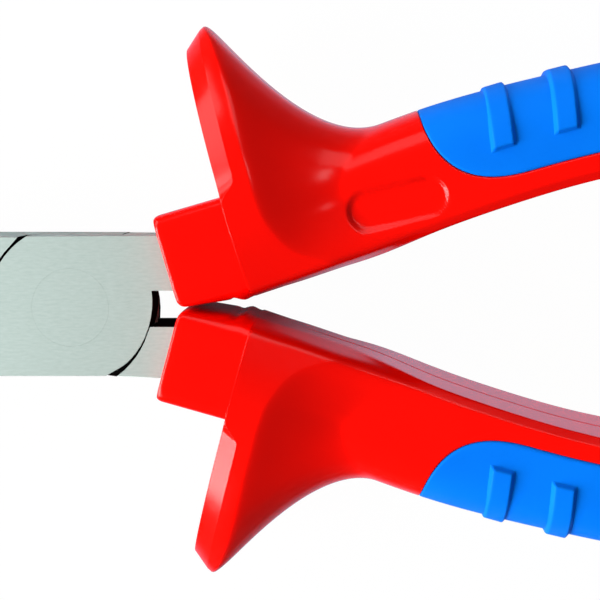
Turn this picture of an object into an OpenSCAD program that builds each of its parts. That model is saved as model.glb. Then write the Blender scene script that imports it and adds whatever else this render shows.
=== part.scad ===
// Insulated long nose pliers, closed: two steel halves on one rivet, each with a sleeve and a soft insert.
// The pivot axis is Z, the jaws point to -X, and z = 0 is the joint's back face.

/* [Steel head] */
// Width of the head between its two flat edges
head_w = 17; // [14:0.1:21]
// How far a half is set off from the middle line, towards its own tang
head_shift = 0.15; // [0:0.05:0.4]
// Thickness of the joint between its ground faces
head_t = 10; // [8:0.5:12]
// How far the round lap face reaches past half the head's width
lap_reach = 1.6; // [1.2:0.05:2.2]
// Gap round the edge of a lap face
lap_edge_gap = 0.3; // [0.2:0.05:0.5]
// Gap between the two lap faces
lap_face_gap = 0.1; // [0.05:0.01:0.2]
// Height of the window between the two tangs
window_w = 4.4; // [3:0.2:6]
// Distance from the lap edge to the sleeves
window_l = 3.1; // [2.8:0.1:6]

/* [Rivet] */
// Radius of the rivet's shank
rivet_r = 3.4; // [2.6:0.1:3.9]
// Radius of the rivet's flush heads
rivet_head_r = 4.7; // [4.1:0.1:6]
// Thickness of each rivet head
rivet_head_t = 1.5; // [1:0.1:2]
// Running clearance of the rivet in the front half
rivet_run_fit = 0.04; // [0.02:0.01:0.08]
// Clearance of the rivet in the back half, where it is fast
rivet_fast_fit = 0.015; // [0.01:0.005:0.03]

/* [Jaws] */
// Length of the jaws from the pivot to the tip
jaw_l = 76; // [60:1:100]
// Radius of the round nose at the tip
nose_tip_r = 1.9; // [1.4:0.1:2.6]
// Radius of the round nose where its long taper starts
nose_root_r = 6.5; // [5.5:0.1:8]
// Distance from the pivot to the start of the long taper
nose_root_x = 28; // [24:1:34]
// Gap between the closed jaws
jaw_gap = 0.1; // [0.05:0.01:0.3]
// Pitch of the gripping teeth
tooth_pitch = 1.25; // [0.8:0.05:2]
// Depth of the gripping teeth
tooth_depth = 0.35; // [0.2:0.05:0.6]
// Length of the side cutter
cutter_l = 15; // [10:1:18]
// Opening angle of the cutter's bevel on each jaw
cutter_angle = 35; // [25:1:45]
// Width of the cutting edge's flat
cutter_land = 1.6; // [1:0.1:3]

/* [Tangs] */
// Thickness of a tang inside its sleeve
tang_t = 8; // [6:0.2:9.6]
// Width of a tang along the middle of the handle
tang_w = 8; // [6:0.2:9.6]
// Length of a tang inside its sleeve
tang_l = 92; // [70:1:100]
// Clearance between a tang and its sleeve
tang_fit = 0.05; // [0.02:0.01:0.2]

/* [Sleeves] */
// Angle between a handle and the tool's middle line
splay = 15.7; // [13:0.1:19]
// Gap between the two collars when the jaws are closed
collar_gap = 0.3; // [0.2:0.05:0.8]
// Length of a collar
collar_l = 8.9; // [7:0.1:11]
// Width of a collar at its front
collar_w = 11.65; // [10.5:0.05:13.5]
// Thickness of a collar
collar_t = 16; // [13:0.1:19]
// Angle by which a collar widens on its inner side
collar_draft = 3.6; // [3:0.2:6]
// Rounding of the front edge of collar and guard
edge_round = 0.7; // [0.3:0.1:1]
// Width of the grip
grip_w = 14.1; // [11.7:0.1:17]
// Thickness of the grip
grip_t = 17.6; // [14.6:0.1:21]
// Length of a sleeve from the collar's front to the end
sleeve_l = 113; // [104:1:130]
// Length of the rounded end
end_round = 7; // [4:0.5:9]
// Radius of the grip's bow
bow_r = 175; // [150:5:260]
// Distance from the collar's front to the point where the bow runs along the handle's axis
bow_apex = 42.5; // [38:0.2:52]
// Distance from the collar's inner corner to the grip's middle line at that point
bow_offset = 7.85; // [7:0.05:9]

/* [Finger guards] */
// Height of the guard's tip above the grip's middle line
guard_h = 26.8; // [22:0.1:33]
// Thickness of the guard across the handle
guard_t = 26; // [21:0.2:32]
// Distance from the guard's front to its tip
guard_tip = 2.9; // [2:0.1:4]
// Height of the chamfer in front of the tip
guard_chamfer = 1.9; // [1:0.1:3.5]
// Length of the sweep behind the tip
guard_sweep = 17.8; // [14:0.1:21]
// Length of the sweep on the flat faces
face_sweep = 11; // [8:0.5:14]
// How far the sweep on the faces starts behind the tip, beside the outer edge
face_sweep_start = 1.3; // [0.5:0.1:2.5]
// How much further back that sweep starts at the inner edge
face_sweep_slant = 8; // [4:0.5:9]
// How far the guard stands out on the inner edge
guard_inner = 0.25; // [0.15:0.05:0.5]

/* [Inserts] */
// Distance from the guard's front to the insert on the outer edge
insert_start = 25.4; // [23:0.1:28]
// Length of the insert on the outer edge
insert_l = 64; // [56:1:66]
// Length of the rounded ends of the insert
insert_round = 11; // [8:0.5:13]
// Width of red that is left along the inner edge of the face
insert_margin = 3.7; // [2.5:0.05:4.4]
// Thickness of the insert
insert_t = 1.6; // [1.2:0.1:1.8]
// Step in the corners of the core under the insert
core_step = 2; // [1.6:0.1:2.2]
// Least wall of the core round the tang
core_wall = 0.5; // [0.3:0.1:0.8]
// Clearance between insert and sleeve
insert_fit = 0.05; // [0.02:0.01:0.1]
// Number of ribs
rib_count = 6; // [2:1:6]
// Width of a rib
rib_w = 3.2; // [2:0.1:4]
// Distance from one rib to the next
rib_pitch = 7.8; // [6:0.1:8]
// Distance from the start of the insert to the first rib
rib_start = 7.6; // [6:0.1:10]
// Distance from the middle line of a face to the end of a rib
rib_inset = 0.45; // [0.3:0.05:1.5]
// Height of a rib
rib_h = 0.7; // [0.4:0.05:1]
// Width of the slope round a rib
rib_flank = 0.5; // [0.2:0.05:0.8]

/* [Recess] */
// Length of the shallow recess on a sleeve's face
recess_l = 12.3; // [8:0.1:13]
// Width of the recess
recess_w = 4.5; // [3:0.1:5]
// Depth of the recess
recess_depth = 0.5; // [0.3:0.05:0.8]
// Distance from the guard's front to the recess
recess_start = 14.2; // [13:0.1:16]
// Distance of the recess from the middle line, towards the inner edge
recess_shift = 2.7; // [2:0.1:3]

/* [Hidden] */
$fn = 64;
steel = "#c3ccc8";
red = "#f5200c";
blue = "#1080f2";
eps = 0.01;
past = 5; // how far a cutting body runs past what it cuts

half_w = head_w / 2;
half_t = head_t / 2;
head_top = half_w + head_shift;
head_bottom = -half_w + head_shift;
lap_r = half_w + lap_reach;
recess_r = lap_r + lap_edge_gap;
nose_clear = 0.4; // keeps the round nose outside the head's square corners
nose_base_r = norm([head_top, half_t]) + nose_clear;
tooth_lead = 3; // plain length before the first tooth
tooth_start = nose_root_x + tooth_lead;
cutter_lead = 2; // plain length between cutter and taper
cutter_end = nose_root_x - cutter_lead;

// Places along a handle, measured from the pivot along the handle's axis
collar_s = lap_r + window_l;
guard_s = collar_s + collar_l;
tip_s = guard_s + guard_tip;
apex_s = collar_s + bow_apex;
end_s = collar_s + sleeve_l;
insert_s = guard_s + insert_start;
insert_end_s = insert_s + insert_l;

// Places across a handle
collar_in = (collar_gap / 2 - collar_s * sin(splay)) / cos(splay);
collar_out = collar_in + collar_w;
apex_t = collar_in + bow_offset;
step_gap = 0.1; // from the head's faces to the collar, so that a plate can lie on the head

// Section shapes: 2 is an ellipse, and a higher power is squarer
collar_power = 8;
grip_inner_power = 5;
grip_outer_power = 3;
guard_inner_power = 2.6;
guard_outer_power = 2;
around = 32;
end_close = 0.9; // how far the rounded end closes, from 0 to 1
tip_crowding = 1.3; // how much closer the rings lie behind the guard's tip

function clamp(x) = max(0, min(1, x));
function mix(a, b, share) = a + (b - a) * share;
function signed_power(x, p) = sign(x) * pow(abs(x), p);

// Middle line of the grip: an arc that runs along the handle's axis at its apex
function turn(s) = s > apex_s ? (s - apex_s) / bow_r * 180 / PI : 0;
function middle(s) = apex_t - bow_r + sqrt(bow_r * bow_r - pow(min(s, apex_s) - apex_s, 2));
// A point beside the middle line, at place s along it and n outwards from it
function beside(s, n) = s > apex_s
    ? [apex_s + (bow_r + n) * sin(turn(s)), apex_t - bow_r + (bow_r + n) * cos(turn(s))]
    : [s, middle(s) + n];

// Inner edge, as an offset from the middle line: the collar's drafted side, then the grip's own side
function inner_edge(s) = max(collar_in - (s - collar_s) * tan(collar_draft) - middle(s), -grip_w / 2);

// A point of a section: offsets towards the inner and outer edge, half the thickness and the two powers
function section(angle, inner, outer, half, p_in, p_out) = let(
    p = cos(angle) < 0 ? p_in : p_out,
    reach = cos(angle) < 0 ? -inner : outer
) [reach * signed_power(cos(angle), 2 / p), half * signed_power(sin(angle), 2 / p)];

function collar_section(s, angle) =
    let(cut = edge_round * (1 - clamp((s - collar_s) / edge_round)))
    section(
        angle, inner_edge(s) + cut, collar_out - middle(s) - cut, collar_t / 2 - cut,
        collar_power, collar_power
    );

function grip_section(s, angle, grow) =
    let(
        close = clamp((s - (end_s - end_round)) / end_round),
        shrink = sqrt(1 - end_close * close * close)
    )
    section(
        angle, inner_edge(s) * shrink - grow, (grip_w / 2) * shrink + grow, (grip_t / 2) * shrink + grow,
        grip_inner_power, grip_outer_power
    );

function guard_section(s, angle) =
    let(
        chamfer = guard_chamfer * (1 - clamp((s - guard_s) / guard_tip)),
        cut = edge_round * (1 - clamp((s - guard_s) / edge_round))
    )
    section(
        angle, inner_edge(s) - guard_inner, guard_h - chamfer, guard_t / 2 - cut,
        guard_inner_power, guard_outer_power
    );

// How much of the guard is left at place s: all up to the tip, then a parabola that runs out into the grip
function guard_share(s, angle) =
    let(
        flat = pow(abs(sin(angle)), 2),
        inward = clamp((1 - cos(angle)) / 2),
        start = tip_s + flat * face_sweep_start + face_sweep_slant * pow(inward, 3),
        run = mix(guard_sweep, face_sweep, flat)
    )
    pow(1 - clamp((s - start) / run), 2);

function sleeve_point(s, angle) = s < guard_s
    ? collar_section(s, angle)
    : mix(grip_section(s, angle, 0), guard_section(s, angle), guard_share(s, angle));

// A rib's height at place s, on the outer side of the angle where its end is
function rib_place(k) = insert_s + rib_start + k * rib_pitch;
function rib_share(s) = max([
    for (k = [0 : rib_count - 1]) clamp(min(s - rib_place(k), rib_place(k) + rib_w - s) / rib_flank)
]);
rib_end = acos(pow(rib_inset / (grip_w / 2), grip_outer_power / 2));
function ribbed_point(s, angle) =
    grip_section(s, angle, min(angle, 360 - angle) <= rib_end ? rib_h * rib_share(s) : 0);

// Skin over rings of points, closed by a flat cap at each end
module skin(rings) {
    n = len(rings[0]);
    last = len(rings) - 1;
    polyhedron(
        points = [for (ring = rings) each ring],
        faces = concat(
            [for (k = [0 : last - 1], i = [0 : n - 1]) [k * n + i, k * n + (i + 1) % n, (k + 1) * n + i]],
            [for (k = [0 : last - 1], i = [0 : n - 1])
                [k * n + (i + 1) % n, (k + 1) * n + (i + 1) % n, (k + 1) * n + i]],
            [[for (i = [n - 1 : -1 : 0]) i]],
            [[for (i = [0 : n - 1]) last * n + i]]
        ),
        convexity = 6
    );
}

function in_space(s, point) = let(q = beside(s, point[0])) [q[0], q[1], point[1]];

module sleeve_skin() {
    skin([
        for (s = sleeve_places) [for (i = [0 : around - 1]) in_space(s, sleeve_point(s, 360 * i / around))]
    ]);
}

module ribbed_skin() {
    quarter = around / 4;
    angles = concat(
        [for (i = [0 : quarter - 1]) 360 * i / around],
        [rib_end],
        [for (i = [quarter : 3 * quarter]) 360 * i / around],
        [360 - rib_end],
        [for (i = [3 * quarter + 1 : around - 1]) 360 * i / around]
    );
    skin([for (s = ribbed_places) [for (angle = angles) in_space(s, ribbed_point(s, angle))]]);
}

// Places of the rings: close where the shape turns, wide along the grip
sweep_end = tip_s + guard_sweep;
sweep_rings = 10;
grip_rings = 16;
end_rings = 5;
tail_rings = 3;
sleeve_places = concat(
    [collar_s, collar_s + edge_round, guard_s - eps, guard_s, guard_s + edge_round],
    [for (k = [0 : sweep_rings]) mix(tip_s, sweep_end, pow(k / sweep_rings, tip_crowding))],
    [for (k = [1 : grip_rings]) mix(sweep_end, end_s - end_round, k / grip_rings)],
    [for (k = [1 : end_rings]) end_s - end_round * (1 - sin(90 * k / end_rings))]
);
ribbed_places = concat(
    [insert_s - eps, insert_s + rib_start / 2],
    [for (k = [0 : rib_count - 1], step = [0, rib_flank, rib_w - rib_flank, rib_w]) rib_place(k) + step],
    [for (k = [1 : tail_rings]) mix(rib_place(rib_count - 1) + rib_w, insert_end_s + eps, k / tail_rings)]
);

// Outline in the plan of the handle, between two offsets from the middle line
module band(from_s, to_s, from_n, to_n) {
    steps = 12;
    places = [for (k = [0 : steps]) mix(from_s, to_s, k / steps)];
    polygon(concat(
        [for (s = places) beside(s, from_n)],
        [for (k = [steps : -1 : 0]) beside(places[k], to_n)]
    ));
}

// Upright block over an outline, to both sides of the joint's middle plane
module slab(thickness) {
    translate([0, 0, -thickness / 2])
        linear_extrude(thickness)
            children();
}

module turned_to_handle() {
    rotate(splay)
        children();
}

// The lower handle and the back half are the upper handle and the front half turned over
module turned_over() {
    rotate([180, 0, 0])
        children();
}

module on_joint() {
    translate([0, 0, half_t])
        children();
}

// Tang inside the sleeve: from the head to the grip's middle line, then along it
tang_bend = 16; // length over which a tang bends towards the bow before its apex
tang_root = 0.5; // how far a tang's thinner part starts before the collar
tang_join = apex_s - tang_bend;
tang_end = collar_s + tang_l;
head_tang = [
    (window_w / 2 - collar_s * sin(splay)) / cos(splay),
    (head_top - collar_s * sin(splay)) / cos(splay)
];

module tang_plan(grow, from_s) {
    steps = 8;
    places = [for (k = [0 : steps]) mix(tang_join, tang_end + grow, k / steps)];
    polygon(concat(
        [for (s = [from_s, collar_s]) [s, head_tang[0] - grow]],
        [for (s = places) beside(s, -tang_w / 2 - grow)],
        [for (k = [steps : -1 : 0]) beside(places[k], tang_w / 2 + grow)],
        [for (s = [collar_s, from_s]) [s, head_tang[1] + grow]]
    ));
}

// Part of the tang that shows between the joint and the collar, as thick as the head
module shoulder_plan() {
    face_s = collar_s - step_gap;
    polygon([
        [0, window_w / 2],
        [0, head_top],
        [(face_s - head_top * sin(splay)) / cos(splay), head_top],
        [(face_s - window_w / 2 * sin(splay)) / cos(splay), window_w / 2]
    ]);
}

// Round nose that the jaws are cut from, as a solid turned about X
module nose() {
    rotate([0, -90, 0])
        rotate_extrude()
            polygon([
                [0, 0],
                [nose_base_r, 0],
                [nose_base_r, lap_r],
                [nose_root_r, nose_root_x],
                [nose_tip_r, jaw_l],
                [0, jaw_l]
            ]);
}

module teeth() {
    count = floor((jaw_l - tooth_start) / tooth_pitch);
    slab(head_t + 2 * past)
        polygon(concat(
            [[-tooth_start, past]],
            [[-tooth_start, -jaw_gap / 2]],
            [for (k = [0 : count - 1], edge = [0, 1])
                [-tooth_start - tooth_pitch * (k + 0.5 + edge / 2), -jaw_gap / 2 - tooth_depth * (1 - edge)]],
            [[-tooth_start - tooth_pitch * count, past]]
        ));
}

// Bevels that leave the cutting edge in the middle of the jaw's thickness
module cutter() {
    depth = (half_t + past - cutter_land / 2) * tan(cutter_angle);
    translate([cutter_l - cutter_end, -jaw_gap / 2, 0])
        rotate([0, -90, 0])
            linear_extrude(cutter_l)
                for (side = [1, -1])
                    polygon([
                        [side * cutter_land / 2, past],
                        [side * cutter_land / 2, 0],
                        [side * (half_t + past), -depth],
                        [side * (half_t + past), past]
                    ]);
}

module jaw() {
    difference() {
        intersection() {
            nose();
            slab(head_t)
                translate([-jaw_l - past, head_bottom])
                    square([jaw_l + past, -head_bottom - jaw_gap / 2]);
        }
        teeth();
        cutter();
    }
}

module lap() {
    slab(head_t)
        intersection() {
            circle(lap_r);
            translate([0, head_shift])
                square([2 * lap_r + past, head_w], center = true);
        }
}

// Rivet, or the room for it when it is grown by a clearance
module rivet_shape(grow, overrun) {
    cylinder(r = rivet_r + grow, h = head_t, center = true);
    for (side = [1, -1])
        translate([0, 0, side * (half_t - (rivet_head_t + grow - overrun) / 2)])
            cylinder(r = rivet_head_r + grow, h = rivet_head_t + grow + overrun, center = true);
}

module steel_half(rivet_fit) {
    difference() {
        union() {
            jaw();
            lap();
            slab(head_t)
                shoulder_plan();
            turned_to_handle()
                slab(tang_t)
                    tang_plan(0, collar_s - tang_root);
        }
        translate([0, 0, -half_t - past])
            cylinder(r = recess_r, h = half_t + past + lap_face_gap / 2);
        rivet_shape(rivet_fit, past);
    }
}

// Room that the insert takes out of the sleeve, seen in plan
module insert_plan(grow) {
    margin = -grip_w / 2 + insert_margin - grow;
    depth = grip_w / 2 - margin;
    steps = 8;
    front = insert_s + insert_round;
    back = insert_end_s - insert_round;
    reach = insert_round + grow;
    polygon(concat(
        [beside(front - reach, grip_w / 2 + past)],
        [for (k = [0 : steps])
            beside(front - reach * cos(90 * k / steps), margin + depth * (1 - sin(90 * k / steps)))],
        [for (k = [1 : steps - 1]) beside(mix(front, back, k / steps), margin)],
        [for (k = [0 : steps])
            beside(back + reach * sin(90 * k / steps), margin + depth * (1 - cos(90 * k / steps)))],
        [beside(back + reach, grip_w / 2 + past)]
    ));
}

// Red core under the insert, stepped at its corners so that the insert keeps its thickness there,
// and never smaller than the tang with a wall round it
module insert_core(grow) {
    core_half = grip_t / 2 - insert_t;
    core_side = grip_w / 2 - insert_t;
    tang_half = tang_t / 2 + core_wall;
    tang_side = tang_w / 2 + core_wall;
    for (size = [
        [core_half, core_side - core_step],
        [max(core_half - core_step, tang_half), max(core_side, tang_side)]
    ])
        slab(2 * (size[0] + grow))
            band(insert_s - past, insert_end_s + past, -grip_w, size[1] + grow);
}

module insert_room(grow) {
    difference() {
        slab(grip_t + 2 * past)
            insert_plan(grow);
        insert_core(-grow);
    }
}

module recess() {
    first = guard_s + recess_start + recess_w / 2;
    last = first + recess_l - recess_w;
    from = beside(first, -recess_shift);
    to = beside(last, -recess_shift);
    translate([from[0], from[1], grip_t / 2 - recess_depth])
        rotate(atan2(to[1] - from[1], to[0] - from[0])) {
            cylinder(d = recess_w, h = past);
            translate([0, -recess_w / 2, 0])
                cube([norm(to - from), recess_w, past]);
            translate([norm(to - from), 0, 0])
                cylinder(d = recess_w, h = past);
        }
}

module sleeve() {
    turned_to_handle()
        difference() {
            sleeve_skin();
            slab(tang_t + 2 * tang_fit)
                tang_plan(tang_fit, collar_s - past);
            insert_room(0);
            recess();
        }
}

module insert() {
    turned_to_handle()
        difference() {
            intersection() {
                ribbed_skin();
                slab(grip_t + 2 * past)
                    insert_plan(-insert_fit);
            }
            insert_core(insert_fit);
        }
}

module front_half() {
    color(steel)
        on_joint()
            steel_half(rivet_run_fit);
}

module back_half() {
    color(steel)
        on_joint()
            turned_over()
                steel_half(rivet_fast_fit);
}

module pivot_rivet() {
    color(steel)
        on_joint()
            rivet_shape(0, 0);
}

module upper_grip_sleeve() {
    color(red)
        on_joint()
            sleeve();
}

module lower_grip_sleeve() {
    color(red)
        on_joint()
            turned_over()
                sleeve();
}

module upper_grip_insert() {
    color(blue)
        on_joint()
            insert();
}

module lower_grip_insert() {
    color(blue)
        on_joint()
            turned_over()
                insert();
}

front_half();
back_half();
pivot_rivet();
upper_grip_sleeve();
lower_grip_sleeve();
upper_grip_insert();
lower_grip_insert();
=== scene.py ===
# %% [markdown]
# Insulated long nose pliers: two steel forgings on one rivet, each with a red moulded handle and a soft
# blue insert. The packed CAD model is loaded first and stays as it is. It gives the frame, the two bodies
# that turn on the rivet, and the box that the finished pieces have to stay in. All lengths below are
# written in millimetres, as on a drawing, and become metres when a mesh is made.

# %% Load the frame
import math

import bmesh
import bpy
import numpy as np
from mathutils import Matrix, Vector


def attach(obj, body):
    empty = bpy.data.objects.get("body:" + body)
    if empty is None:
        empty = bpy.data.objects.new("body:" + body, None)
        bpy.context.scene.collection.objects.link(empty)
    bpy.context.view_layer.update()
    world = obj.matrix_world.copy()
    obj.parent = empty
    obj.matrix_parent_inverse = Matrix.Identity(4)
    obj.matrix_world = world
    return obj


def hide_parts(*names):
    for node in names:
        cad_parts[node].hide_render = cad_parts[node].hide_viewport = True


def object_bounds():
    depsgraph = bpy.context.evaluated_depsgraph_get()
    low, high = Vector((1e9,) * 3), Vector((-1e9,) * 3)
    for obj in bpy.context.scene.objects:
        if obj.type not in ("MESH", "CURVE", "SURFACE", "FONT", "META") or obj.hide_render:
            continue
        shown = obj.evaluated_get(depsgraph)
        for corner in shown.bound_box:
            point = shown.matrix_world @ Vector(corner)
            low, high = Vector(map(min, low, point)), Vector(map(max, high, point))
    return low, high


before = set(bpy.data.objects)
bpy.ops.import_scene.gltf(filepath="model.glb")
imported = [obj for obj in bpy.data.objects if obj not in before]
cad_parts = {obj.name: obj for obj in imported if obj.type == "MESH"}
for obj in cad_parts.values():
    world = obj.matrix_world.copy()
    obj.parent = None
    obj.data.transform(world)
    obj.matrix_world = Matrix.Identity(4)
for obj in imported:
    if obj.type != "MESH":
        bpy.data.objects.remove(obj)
cad_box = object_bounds()
MM = 0.001
print("CAD box in mm:", [[round(c / MM, 2) for c in corner] for corner in cad_box])

# %% [markdown]
# The camera comes next, because every later choice is judged through it. The photograph is a close view,
# nearly square on the joint's front face, with the lens a little above and to the right and less than two
# hands away: the inner wall of the lower handle shows, the top of the upper collar hardly does. A far lens
# is easier to aim, but it hides those walls. So aim, distance and roll were fitted to the outlines and the
# walls.

# %% Camera
AIM = Vector((27.9, 0.846, 10.0)) * MM
LENS_SIDE = Vector((0.0638, 0.1, 1.0)).normalized()
LENS_DISTANCE = 180 * MM
PIXELS_PER_MM = 8.344
FRAME_PIXELS = 600
SENSOR_WIDTH = 36.0
CLIP_NEAR, CLIP_FAR = 0.05, 20.0
ROLL = math.radians(-0.555)


def make_camera():
    data = bpy.data.cameras.new("photo_camera")
    data.sensor_width = SENSOR_WIDTH
    data.lens = PIXELS_PER_MM * LENS_DISTANCE / MM * SENSOR_WIDTH / FRAME_PIXELS
    data.clip_start, data.clip_end = CLIP_NEAR, CLIP_FAR
    right = Vector((0, 1, 0)).cross(LENS_SIDE).normalized()
    up = LENS_SIDE.cross(right)
    turned_right = right * math.cos(ROLL) + up * math.sin(ROLL)
    turned_up = up * math.cos(ROLL) - right * math.sin(ROLL)
    camera = bpy.data.objects.new("photo_camera", data)
    camera.matrix_world = Matrix.Translation(AIM + LENS_SIDE * LENS_DISTANCE) @ Matrix(
        (turned_right, turned_up, LENS_SIDE)).transposed().to_4x4()
    bpy.context.scene.collection.objects.link(camera)
    bpy.context.scene.camera = camera
    return camera


print("lens in mm:", round(make_camera().data.lens, 1))

# %% [markdown]
# Both handles are the same moulding, one turned over. A handle is described in its own flat frame: s runs
# along it from the pivot, n runs outwards from its bowed middle line, and z through its thickness. It could
# be sculpted, but a rule in s, n and z stays smooth at any mesh density, and lets the insert and its ribs
# share the sleeve's surface.

# %% Middle line of a handle
HALF_HEAD = 5.0
SPLAY = math.radians(15.7)
COLLAR_S = 13.2
COLLAR_L = 8.9
COLLAR_W = 11.53
COLLAR_TRIM = 0.25
COLLAR_GAP = 0.3
SLEEVE_L = 113.0
BOW_R = 175.0
APEX_L = 42.5
APEX_RISE = 7.75
GUARD_S = COLLAR_S + COLLAR_L
END_S = COLLAR_S + SLEEVE_L
APEX_S = COLLAR_S + APEX_L
COLLAR_IN = (COLLAR_GAP / 2 - COLLAR_S * math.sin(SPLAY)) / math.cos(SPLAY)
COLLAR_OUT = COLLAR_IN + COLLAR_W - COLLAR_TRIM
APEX_T = COLLAR_IN + APEX_RISE


def middle(s):
    return APEX_T - BOW_R + np.sqrt(BOW_R ** 2 - (np.minimum(s, APEX_S) - APEX_S) ** 2)


def beside(s, n):
    """The place n beside the middle line: straight across before the bow's top, then square to the bow."""
    turn = np.maximum(s - APEX_S, 0) / BOW_R
    bent = s > APEX_S
    x = np.where(bent, APEX_S + (BOW_R + n) * np.sin(turn), s)
    y = np.where(bent, APEX_T - BOW_R + (BOW_R + n) * np.cos(turn), middle(s) + n)
    return x, y


print("sleeve from", COLLAR_S, "to", END_S, "- guard and bow's top at", round(GUARD_S, 2), round(APEX_S, 2))

# %% [markdown]
# The wall that faces the other handle is not straight. The collar is drafted so that it leaves the mould, a
# small swell marks where the guard begins, and the grip behind it has a slight belly. One spline could be
# bent through all that, but a sum of simple curves keeps each feature apart, so that each can be set by
# itself.

# %% Inner wall of a handle
COLLAR_DRAFT = math.tan(math.radians(3.1))
GRIP_INNER = 6.95
GRIP_TAPER = 0.42
TAPER_FROM, TAPER_RUN = 24, 20
WALL_BLEND = 0.8
BELLY, BELLY_S, BELLY_REACH = 0.52, 37.5, 6.5
SWELL_S = [13.2, 16, 19.1, 20.9, 23.3, 26]
SWELL_OUT = [0.1, 0.4, 0.7, 1.05, 0.85, 0.65]
SWELL_AT = np.linspace(12, 31, 761)
SWELL_WINDOW = 41


def clamp(x):
    return np.clip(x, 0.0, 1.0)


def ease(x):
    x = clamp(x)
    return x * x * (3 - 2 * x)


def mix(a, b, share):
    return a + (b - a) * share


def hump(x, reach):
    return np.exp(-(x / reach) ** 2)


def moving_mean(values, window, kind="same"):
    return np.convolve(values, np.ones(window) / window, kind)


def swell_table():
    swell = moving_mean(np.interp(SWELL_AT, SWELL_S, SWELL_OUT), SWELL_WINDOW)
    edge = SWELL_WINDOW // 2 + 1
    swell[:edge], swell[-edge:] = swell[edge], swell[-edge - 1]
    return swell


SWELL = swell_table()


def taper(s):
    return GRIP_TAPER * ease((s - GUARD_S - TAPER_FROM) / TAPER_RUN)


def inner_side(s):
    """Offset n of the inner wall: the drafted collar, blended into the grip's even width."""
    drafted = COLLAR_IN - (s - COLLAR_S) * COLLAR_DRAFT - middle(s) - np.interp(s, SWELL_AT, SWELL)
    even = -GRIP_INNER + taper(s)
    blended = (drafted + even + np.hypot(drafted - even, WALL_BLEND)) / 2
    return blended - BELLY * hump(s - BELLY_S, BELLY_REACH)


print("inner wall at collar, guard and bow:", inner_side(np.array([COLLAR_S, GUARD_S, APEX_S])).round(2))

# %% [markdown]
# A cross-section is a closed curve made of quarters. Each ring could be drawn by hand as a curve, but there
# are hundreds of them. A rounded quarter is a superellipse instead: power 2 is an ellipse, 14 is nearly a
# box. Each quarter is tabulated by its own length, so points spread evenly on it.

# %% Rounded quarters
OVAL, CUSHION, SOFT_BOX, BOX = 2, 3, 4.5, 14
QUARTER_STEPS = 120


def by_length(across, up, stretch=(1.0, 1.0)):
    steps = np.hypot(np.diff(across) * stretch[0], np.diff(up) * stretch[1])
    length = np.concatenate([[0], np.cumsum(steps)])
    return length / length[-1], across, up


def rounded_quarter(power):
    half = np.linspace(0, 2 ** (-1 / power), QUARTER_STEPS)
    other = (1 - half ** power) ** (1 / power)
    return by_length(np.concatenate([other, half[-2::-1]]), np.concatenate([half, other[-2::-1]]))


QUARTERS = {power: rounded_quarter(power) for power in (OVAL, CUSHION, SOFT_BOX, BOX)}
print("rounded quarters of power:", list(QUARTERS))

# %% [markdown]
# The inner side is moulded differently. The grip has a flat wall and a narrow bevel there, so its quarter
# is a short polygon with eased corners. The guard has a high wall and a face that turns over gently. A
# Bevel modifier could ease both, but the two have to fade into each other along the handle. So their
# corners sit at the same places of the table, and nothing twists between them.

# %% Quarters of the inner side
GRIP_HALF = 9.25
BEVEL_N = 1.05
BEVEL_Z = 0.75
FACE_CROWN = 0.05
BEVEL_WINDOW = 13
GUARD_WALL = 0.42
GUARD_FACE_END = 0.9
GUARD_FACE_EASE = 0.4
GUARD_FACE_STEPS = 40
GUARD_EDGE = 0.97
GUARD_WINDOW = 61
TABLE_STEPS = 800


def softened(share, across, up, window):
    """The same curve with its corners eased by a moving mean. Its two ends stay in place."""
    fine = np.linspace(0, 1, TABLE_STEPS)
    k = window // 2
    eased = []
    for c in (np.interp(fine, share, across), np.interp(fine, share, up)):
        padded = np.concatenate([2 * c[0] - c[k:0:-1], c, 2 * c[-1] - c[-2:-2 - k:-1]])
        eased.append(moving_mean(padded, window, "valid"))
    return fine, *eased


def bevelled_quarter():
    corner = np.array([
        [1, 0], [1, 1 - BEVEL_Z / GRIP_HALF], [1 - BEVEL_N / GRIP_INNER, 1 - FACE_CROWN / GRIP_HALF], [0, 1]])
    share, across, up = by_length(corner[:, 0], corner[:, 1], (GRIP_INNER, GRIP_HALF))
    return share, softened(share, across, up, BEVEL_WINDOW)


def guard_quarter(share):
    across = np.linspace(GUARD_FACE_END, 0, GUARD_FACE_STEPS)
    fall = np.hypot(across, GUARD_FACE_EASE) - GUARD_FACE_EASE
    up = 1 - (1 - GUARD_EDGE) * fall / fall[0]
    places = np.concatenate([share[:2], np.linspace(share[2], 1, GUARD_FACE_STEPS)])
    return softened(
        places, np.concatenate([[1, 1], across]), np.concatenate([[0, GUARD_WALL], up]), GUARD_WINDOW)


CORNERS, QUARTERS["bevel"] = bevelled_quarter()
QUARTERS["guard"] = guard_quarter(CORNERS)
print("corners of the inner quarters at:", CORNERS.round(3))

# %% [markdown]
# Along the handle the section changes from the square collar to the tall guard, then sweeps down to the
# grip. Three joined solids would leave hard seams there. Mixing their sections by a rule gives the soft
# scoop that the moulding has behind its guard.

# %% Sections of collar and grip
COLLAR_HALF = 8.4
COLLAR_SOFT = 0.25
FACE_CUT = 0.3
OUTER_CUT = 0.45
GRIP_SIDE = 7.15
END_ROUND = 7.0
END_CLOSE = 0.985


def section(w, inner, outer, half, inner_form, outer_form):
    """Offset n and height z at w: 0 is the outer edge, 1 the middle of the face, 2 the inner edge."""
    outward = w <= 1
    t = np.where(outward, w, 2 - w)
    (out_n, out_z), (in_n, in_z) = [
        [np.interp(t, QUARTERS[form][0], side) for side in QUARTERS[form][1:]]
        for form in (outer_form, inner_form)]
    return np.where(outward, outer * out_n, inner * in_n), half * np.where(outward, out_z, in_z)


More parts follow.
